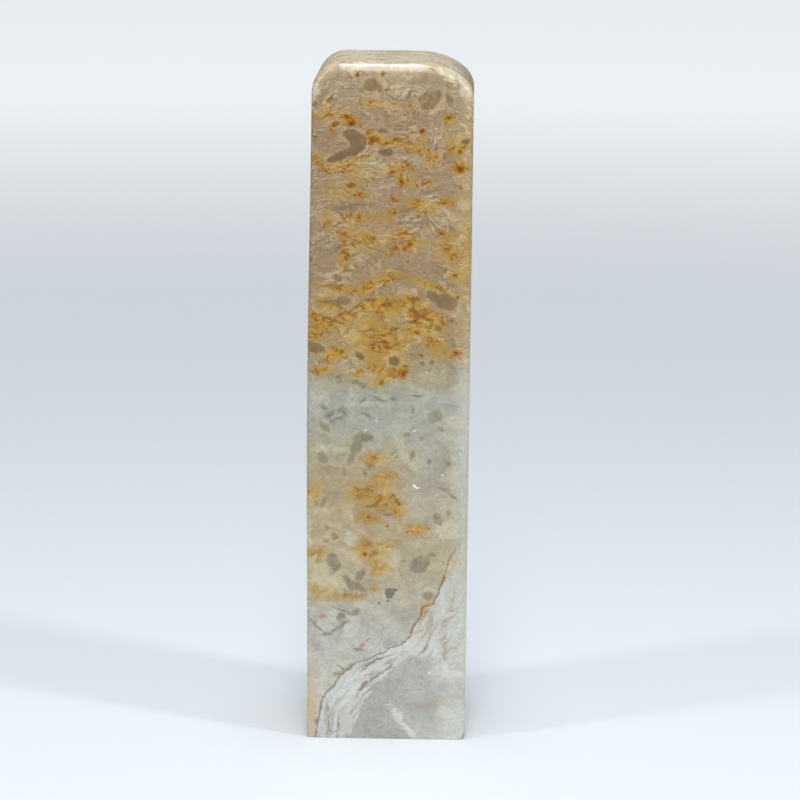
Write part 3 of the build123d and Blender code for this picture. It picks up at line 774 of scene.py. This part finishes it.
ochre_colour = add(tree, "ValToRGB", {"stops": [
    (0.36, "#855716"), (0.45, "#a0701e"), (0.54, "#b68b36"), (0.64, "#c6a556"),
]}, {0: mottle})
colour = add(tree, "Mix", {"data_type": "RGBA"}, {0: ochre_share, 1: colour, 2: ochre_colour})

# The threads show through the stains
stain_light = add(tree, "Math", {"operation": "MULTIPLY_ADD"}, {0: thread_share, 1: -0.55, 2: 1.0})
stain_light = add(tree, "Math", {"operation": "MULTIPLY_ADD"}, {0: pale_thread, 1: 0.35, 2: stain_light})
colour = add(tree, "VectorMath", {"operation": "SCALE"}, {0: colour, "Scale": stain_light})

# Pebbles of clear quartz, with a crisp edge and a pale halo. Away from the front, one in each 6 mm cell.
cells_per_mm = 0.17
cells = add(tree, "TexVoronoi", {}, {"Vector": zone_place, "Scale": cells_per_mm})
cell_size = add(tree, "SeparateXYZ", {}, {0: cells.outputs["Color"]})
cell_size = add(tree, "MapRange", {}, {0: cell_size.outputs["X"], 1: 0.4, 2: 1.0, 3: -0.4, 4: 1.4})
cell_pebble = add(tree, "Math", {"operation": "MULTIPLY"}, {
    0: cells.outputs["Distance"], 1: 1 / cells_per_mm,
})
cell_pebble = add(tree, "Math", {"operation": "SUBTRACT"}, {0: cell_pebble, 1: cell_size})
pebble = add(tree, "Attribute", {"attribute_name": "pebble"}, {}).outputs["Fac"]
pebble = add(tree, "Mix", {}, {0: behind, 1: pebble, 2: cell_pebble})
fray_wave = add(tree, "MapRange", {}, {0: fray, 1: 0.3, 2: 0.7, 3: -0.12, 4: 0.12})
pebble = add(tree, "Math", {"operation": "ADD"}, {0: pebble, 1: fray_wave})
halo = add(tree, "MapRange", smooth, {0: pebble, 1: 0.6, 2: 0.0, 3: 0.0, 4: 0.25})
colour = add(tree, "Mix", {"data_type": "RGBA"}, {0: halo, 1: colour, 2: linear("#bfb390")})
pebble_colour = add(tree, "ValToRGB", {"stops": [
    (0.08, "#98907f"), (0.18, "#938c7a"), (0.23, "#877a69"), (0.27, "#8c826d"), (0.35, "#90856a"),
    (0.41, "#8c8066"), (0.45, "#7d7862"), (0.485, "#92907c"), (0.53, "#88816a"), (0.57, "#765e35"),
    (0.60, "#8c7450"), (0.66, "#826a4a"), (0.75, "#857152"), (0.86, "#775f46"), (1.0, "#94805d"),
]}, {0: plain_height_share})
pebble_wave = add(tree, "TexNoise", {}, {"Vector": bed_zone, "Scale": 0.55, "Detail": 4.0, "Roughness": 0.62})
pebble_light = add(tree, "MapRange", {}, {0: pebble_wave, 1: 0.32, 2: 0.68, 3: 0.80, 4: 1.20})
pebble_colour = add(tree, "VectorMath", {"operation": "SCALE"}, {0: pebble_colour, "Scale": pebble_light})
pebble_share = add(tree, "MapRange", smooth, {0: pebble, 1: 0.22, 2: -0.25, 3: 0.0, 4: 0.92})
colour = add(tree, "Mix", {"data_type": "RGBA"}, {0: pebble_share, 1: colour, 2: pebble_colour})

# Slate, dark threads and brown streaks
slate = nearest(tree, spot_place, slate_places)
slate_share = add(tree, "MapRange", smooth, {0: slate, 1: 1.1, 2: 0.85, 3: 0.0, 4: 0.9})
colour = add(tree, "Mix", {"data_type": "RGBA"}, {0: slate_share, 1: colour, 2: linear("#706c66")})
dark_random = add(tree, "TexNoise", {}, {"Vector": bed_place, "Scale": 1.7, "Detail": 3.0, "Roughness": 0.6})
dark_random = add(tree, "MapRange", {"clamp": False}, {0: dark_random, 1: 0.66, 2: 0.78, 3: 2.2, 4: 0.5})
dark = nearest(tree, spot_place, dark_places)
dark = add(tree, "Mix", {}, {0: behind, 1: dark, 2: dark_random})
dark_share = add(tree, "MapRange", smooth, {0: dark, 1: 2.2, 2: 0.3, 3: 0.0, 4: 0.66})
dark_colour = add(tree, "ValToRGB", {"stops": [
    (0.0, "#7a7366"), (0.2, "#756c5e"), (0.35, "#6b5632"), (0.45, "#6f6c5c"), (0.52, "#6a6553"),
    (0.58, "#5c4322"), (0.66, "#6a5534"), (0.73, "#7d6c50"), (1.0, "#7d6c50"),
]}, {0: plain_height_share})
colour = add(tree, "Mix", {"data_type": "RGBA"}, {0: dark_share, 1: colour, 2: dark_colour})
brown = nearest(tree, spot_place, brown_places)
brown_share = add(tree, "MapRange", smooth, {0: brown, 1: 1.2, 2: 0.7, 3: 0.0, 4: 0.8})
brown_colour = add(tree, "ValToRGB", {"stops": [
    (0.13, "#8b7d70"), (0.18, "#8f6647"), (0.40, "#8f6647"), (0.52, "#865a1c"),
]}, {0: plain_height_share})
colour = add(tree, "Mix", {"data_type": "RGBA"}, {0: brown_share, 1: colour, 2: brown_colour})

# The hairline along the vein: red-brown above, grey-brown and thicker below
line_width = add(tree, "MapRange", {}, {0: fray, 1: 0.35, 2: 0.65, 3: 0.05, 4: 0.26})
line_off = add(tree, "Math", {"operation": "ABSOLUTE"}, {0: past_hairline})
line_off = add(tree, "Math", {"operation": "DIVIDE"}, {0: line_off, 1: line_width})
line_share = add(tree, "MapRange", smooth, {0: line_off, 1: 1.5, 2: 0.4, 3: 0.0, 4: 0.8})
line_end = add(tree, "MapRange", smooth, {0: plain.outputs["Z"], 1: 31.5, 2: 21.5, 3: 0.0, 4: 1.0})
line_share = add(tree, "Math", {"operation": "MULTIPLY"}, {0: line_share, 1: line_end})
line_colour = add(tree, "ValToRGB", {"stops": [
    (0.20, "#7d776c"), (0.42, "#82796a"), (0.50, "#886748"), (0.62, "#8f6044"), (0.80, "#94694f"),
]}, {0: along})
colour = add(tree, "Mix", {"data_type": "RGBA"}, {0: line_share, 1: colour, 2: line_colour})

# Rust: small hot grains, dark red inside and orange round them
rust_cells = add(tree, "TexVoronoi", {}, {"Vector": zone_place, "Scale": 0.34})
rust_size = add(tree, "SeparateXYZ", {}, {0: rust_cells.outputs["Color"]})
rust_size = add(tree, "Math", {"operation": "MULTIPLY"}, {0: rust_size.outputs["X"], 1: stain_height})
rust_size = add(tree, "MapRange", {}, {0: rust_size, 1: 0.45, 2: 1.0, 3: 0.002, 4: 0.12})
rust_random = add(tree, "Math", {"operation": "DIVIDE"}, {0: rust_cells.outputs["Distance"], 1: rust_size})
rust = nearest(tree, spot_place, rust_places)
rust = add(tree, "Mix", {}, {0: behind, 1: rust, 2: rust_random})
rust_ring = add(tree, "MapRange", smooth, {0: rust, 1: 2.0, 2: 0.9, 3: 0.0, 4: 0.75})
colour = add(tree, "Mix", {"data_type": "RGBA"}, {0: rust_ring, 1: colour, 2: linear("#a4681c")})
rust_heart = add(tree, "MapRange", smooth, {0: rust, 1: 1.1, 2: 0.4, 3: 0.0, 4: 0.9})
colour = add(tree, "Mix", {"data_type": "RGBA"}, {0: rust_heart, 1: colour, 2: linear("#704010")})
coral = nearest(tree, spot_place, coral_places)
coral_share = add(tree, "MapRange", smooth, {0: coral, 1: 1.3, 2: 0.5, 3: 0.0, 4: 0.8})
colour = add(tree, "Mix", {"data_type": "RGBA"}, {0: coral_share, 1: colour, 2: linear("#c0735f")})

# Mottling in everything, and painted highlights: a few bright crystal faces whose sparkle is painted into the
# colour.
# Chalcedony's own grain is too fine to show, so it is drawn about 0.4 mm coarse.
grain = add(tree, "TexNoise", {}, {"Vector": place, "Scale": 2.6, "Detail": 2.0, "Roughness": 0.6})
mottle_light = add(tree, "MapRange", {}, {0: mottle, 1: 0.3, 2: 0.7, 3: 0.87, 4: 1.14})
grain_light = add(tree, "MapRange", {}, {0: grain, 1: 0.25, 2: 0.75, 3: 0.95, 4: 1.05})
light = add(tree, "Math", {"operation": "MULTIPLY"}, {0: mottle_light, 1: grain_light})
colour = add(tree, "VectorMath", {"operation": "SCALE"}, {0: colour, "Scale": light})
# Painted highlight: near-white spots where crystal faces sparkle
painted_glint = nearest(tree, spot_place, painted_glint_places)
painted_glint_share = add(tree, "MapRange", smooth, {0: painted_glint, 1: 1.2, 2: 0.8})
colour = add(tree, "Mix", {"data_type": "RGBA"}, {0: painted_glint_share, 1: colour, 2: linear("#f2f0e2")})

# The colours were read off the polished stone, where the gloss lies over them, so the gloss comes off again
colour = add(tree, "VectorMath", {"operation": "MULTIPLY_ADD"}, {
    0: colour, 1: [1 + gloss] * 3, 2: [-gloss] * 3,
})
colour = add(tree, "VectorMath", {"operation": "MAXIMUM"}, {0: colour, 1: darkest})

# The polish: glassy and a little uneven, with quartz's own IOR
roughness = add(tree, "MapRange", {}, {0: grain, 1: 0.3, 2: 0.7, 3: 0.18, 4: 0.28})
relief = add(tree, "Bump", {}, {"Strength": 0.12, "Distance": 0.05 * MM, "Height": grain})
tree.links.new(colour.outputs[0], principled.inputs["Base Color"])
tree.links.new(roughness.outputs[0], principled.inputs["Roughness"])
tree.links.new(relief.outputs[0], principled.inputs["Normal"])
principled.inputs["IOR"].default_value = 1.54
seal.data.materials.append(stone)

# Floor: matt white paint, rolled on, which shows the shadow and no reflection
bpy.ops.object.select_all(action="DESELECT")
bpy.ops.mesh.primitive_plane_add(size=12.0, location=(0, 0, low.z))
floor = bpy.context.object
floor.name = "floor"
bpy.ops.object.transform_apply(location=True, rotation=True, scale=True)
paint = bpy.data.materials.new("matt_white_floor_paint")
paint.use_nodes = True
paint_surface = paint.node_tree.nodes["Principled BSDF"]
paint_surface.inputs["Base Color"].default_value = linear("#dde1e3")
paint_surface.inputs["Roughness"].default_value = 0.6
# The far floor is seen as pale as the near floor, though the lamps don't reach it
far = add(paint.node_tree, "TexCoord", {}, {}).outputs["Object"]
far = add(paint.node_tree, "VectorMath", {"operation": "LENGTH"}, {0: far})
far = add(paint.node_tree, "MapRange", smooth, {0: far, 1: 0.1, 2: 1.2, 3: 0.02, 4: 0.68})
seen = add(paint.node_tree, "LightPath", {}, {}).outputs["Is Camera Ray"]
glow = add(paint.node_tree, "Math", {"operation": "MULTIPLY"}, {0: far, 1: seen})
paint_surface.inputs["Emission Color"].default_value = linear("#f0f5f8")
paint.node_tree.links.new(glow.outputs[0], paint_surface.inputs["Emission Strength"])
floor.data.materials.append(paint)

# Light, at a level at which the colours render about as they are written
world = bpy.data.worlds.new("studio")
bpy.context.scene.world = world
world.use_nodes = True
world.node_tree.nodes["Background"].inputs["Color"].default_value = linear("#d9dde0")
world.node_tree.nodes["Background"].inputs["Strength"].default_value = 0.36


def softbox(name, place, aim, width, length, power, tint="#ffffff"):
    """A soft rectangular lamp, aimed at a point."""
    lamp = bpy.data.lights.new(name, "AREA")
    lamp.shape = "RECTANGLE"
    lamp.size = width
    lamp.size_y = length
    lamp.energy = power
    lamp.color = linear(tint)[:3]
    holder = bpy.data.objects.new(name, lamp)
    bpy.context.scene.collection.objects.link(holder)
    holder.location = place
    holder.rotation_euler = (Vector(aim) - Vector(place)).to_track_quat("-Z", "Y").to_euler()


softbox("front_softbox", (0, -0.34, 0.62), (0, 0, 0.08), 0.12, 0.88, 2.85)
softbox("top_softbox", (0, -0.02, 0.7), (0, 0, 0.1), 0.2, 0.3, 1.9, "#e2eeff")
softbox("left_softbox", (-0.5, -0.3, 0.46), (0, 0, 0.06), 0.08, 0.4, 1.1)
softbox("right_softbox", (0.5, -0.3, 0.46), (0, 0, 0.06), 0.08, 0.4, 1.5)

# Camera
camera_data = bpy.data.cameras.new("camera")
camera_data.lens = lens_mm
camera_data.sensor_width = sensor_mm
camera = bpy.data.objects.new("camera", camera_data)
bpy.context.scene.collection.objects.link(camera)
turned = (
    Matrix.Rotation(camera_turn, 4, "Z")
    @ Matrix.Rotation(math.pi / 2 - camera_pitch, 4, "X")
    @ Matrix.Rotation(camera_roll, 4, "Z")
)
camera.matrix_world = Matrix.Translation(camera_place) @ turned
bpy.context.scene.camera = camera
bpy.context.scene.view_settings.view_transform = "Standard"
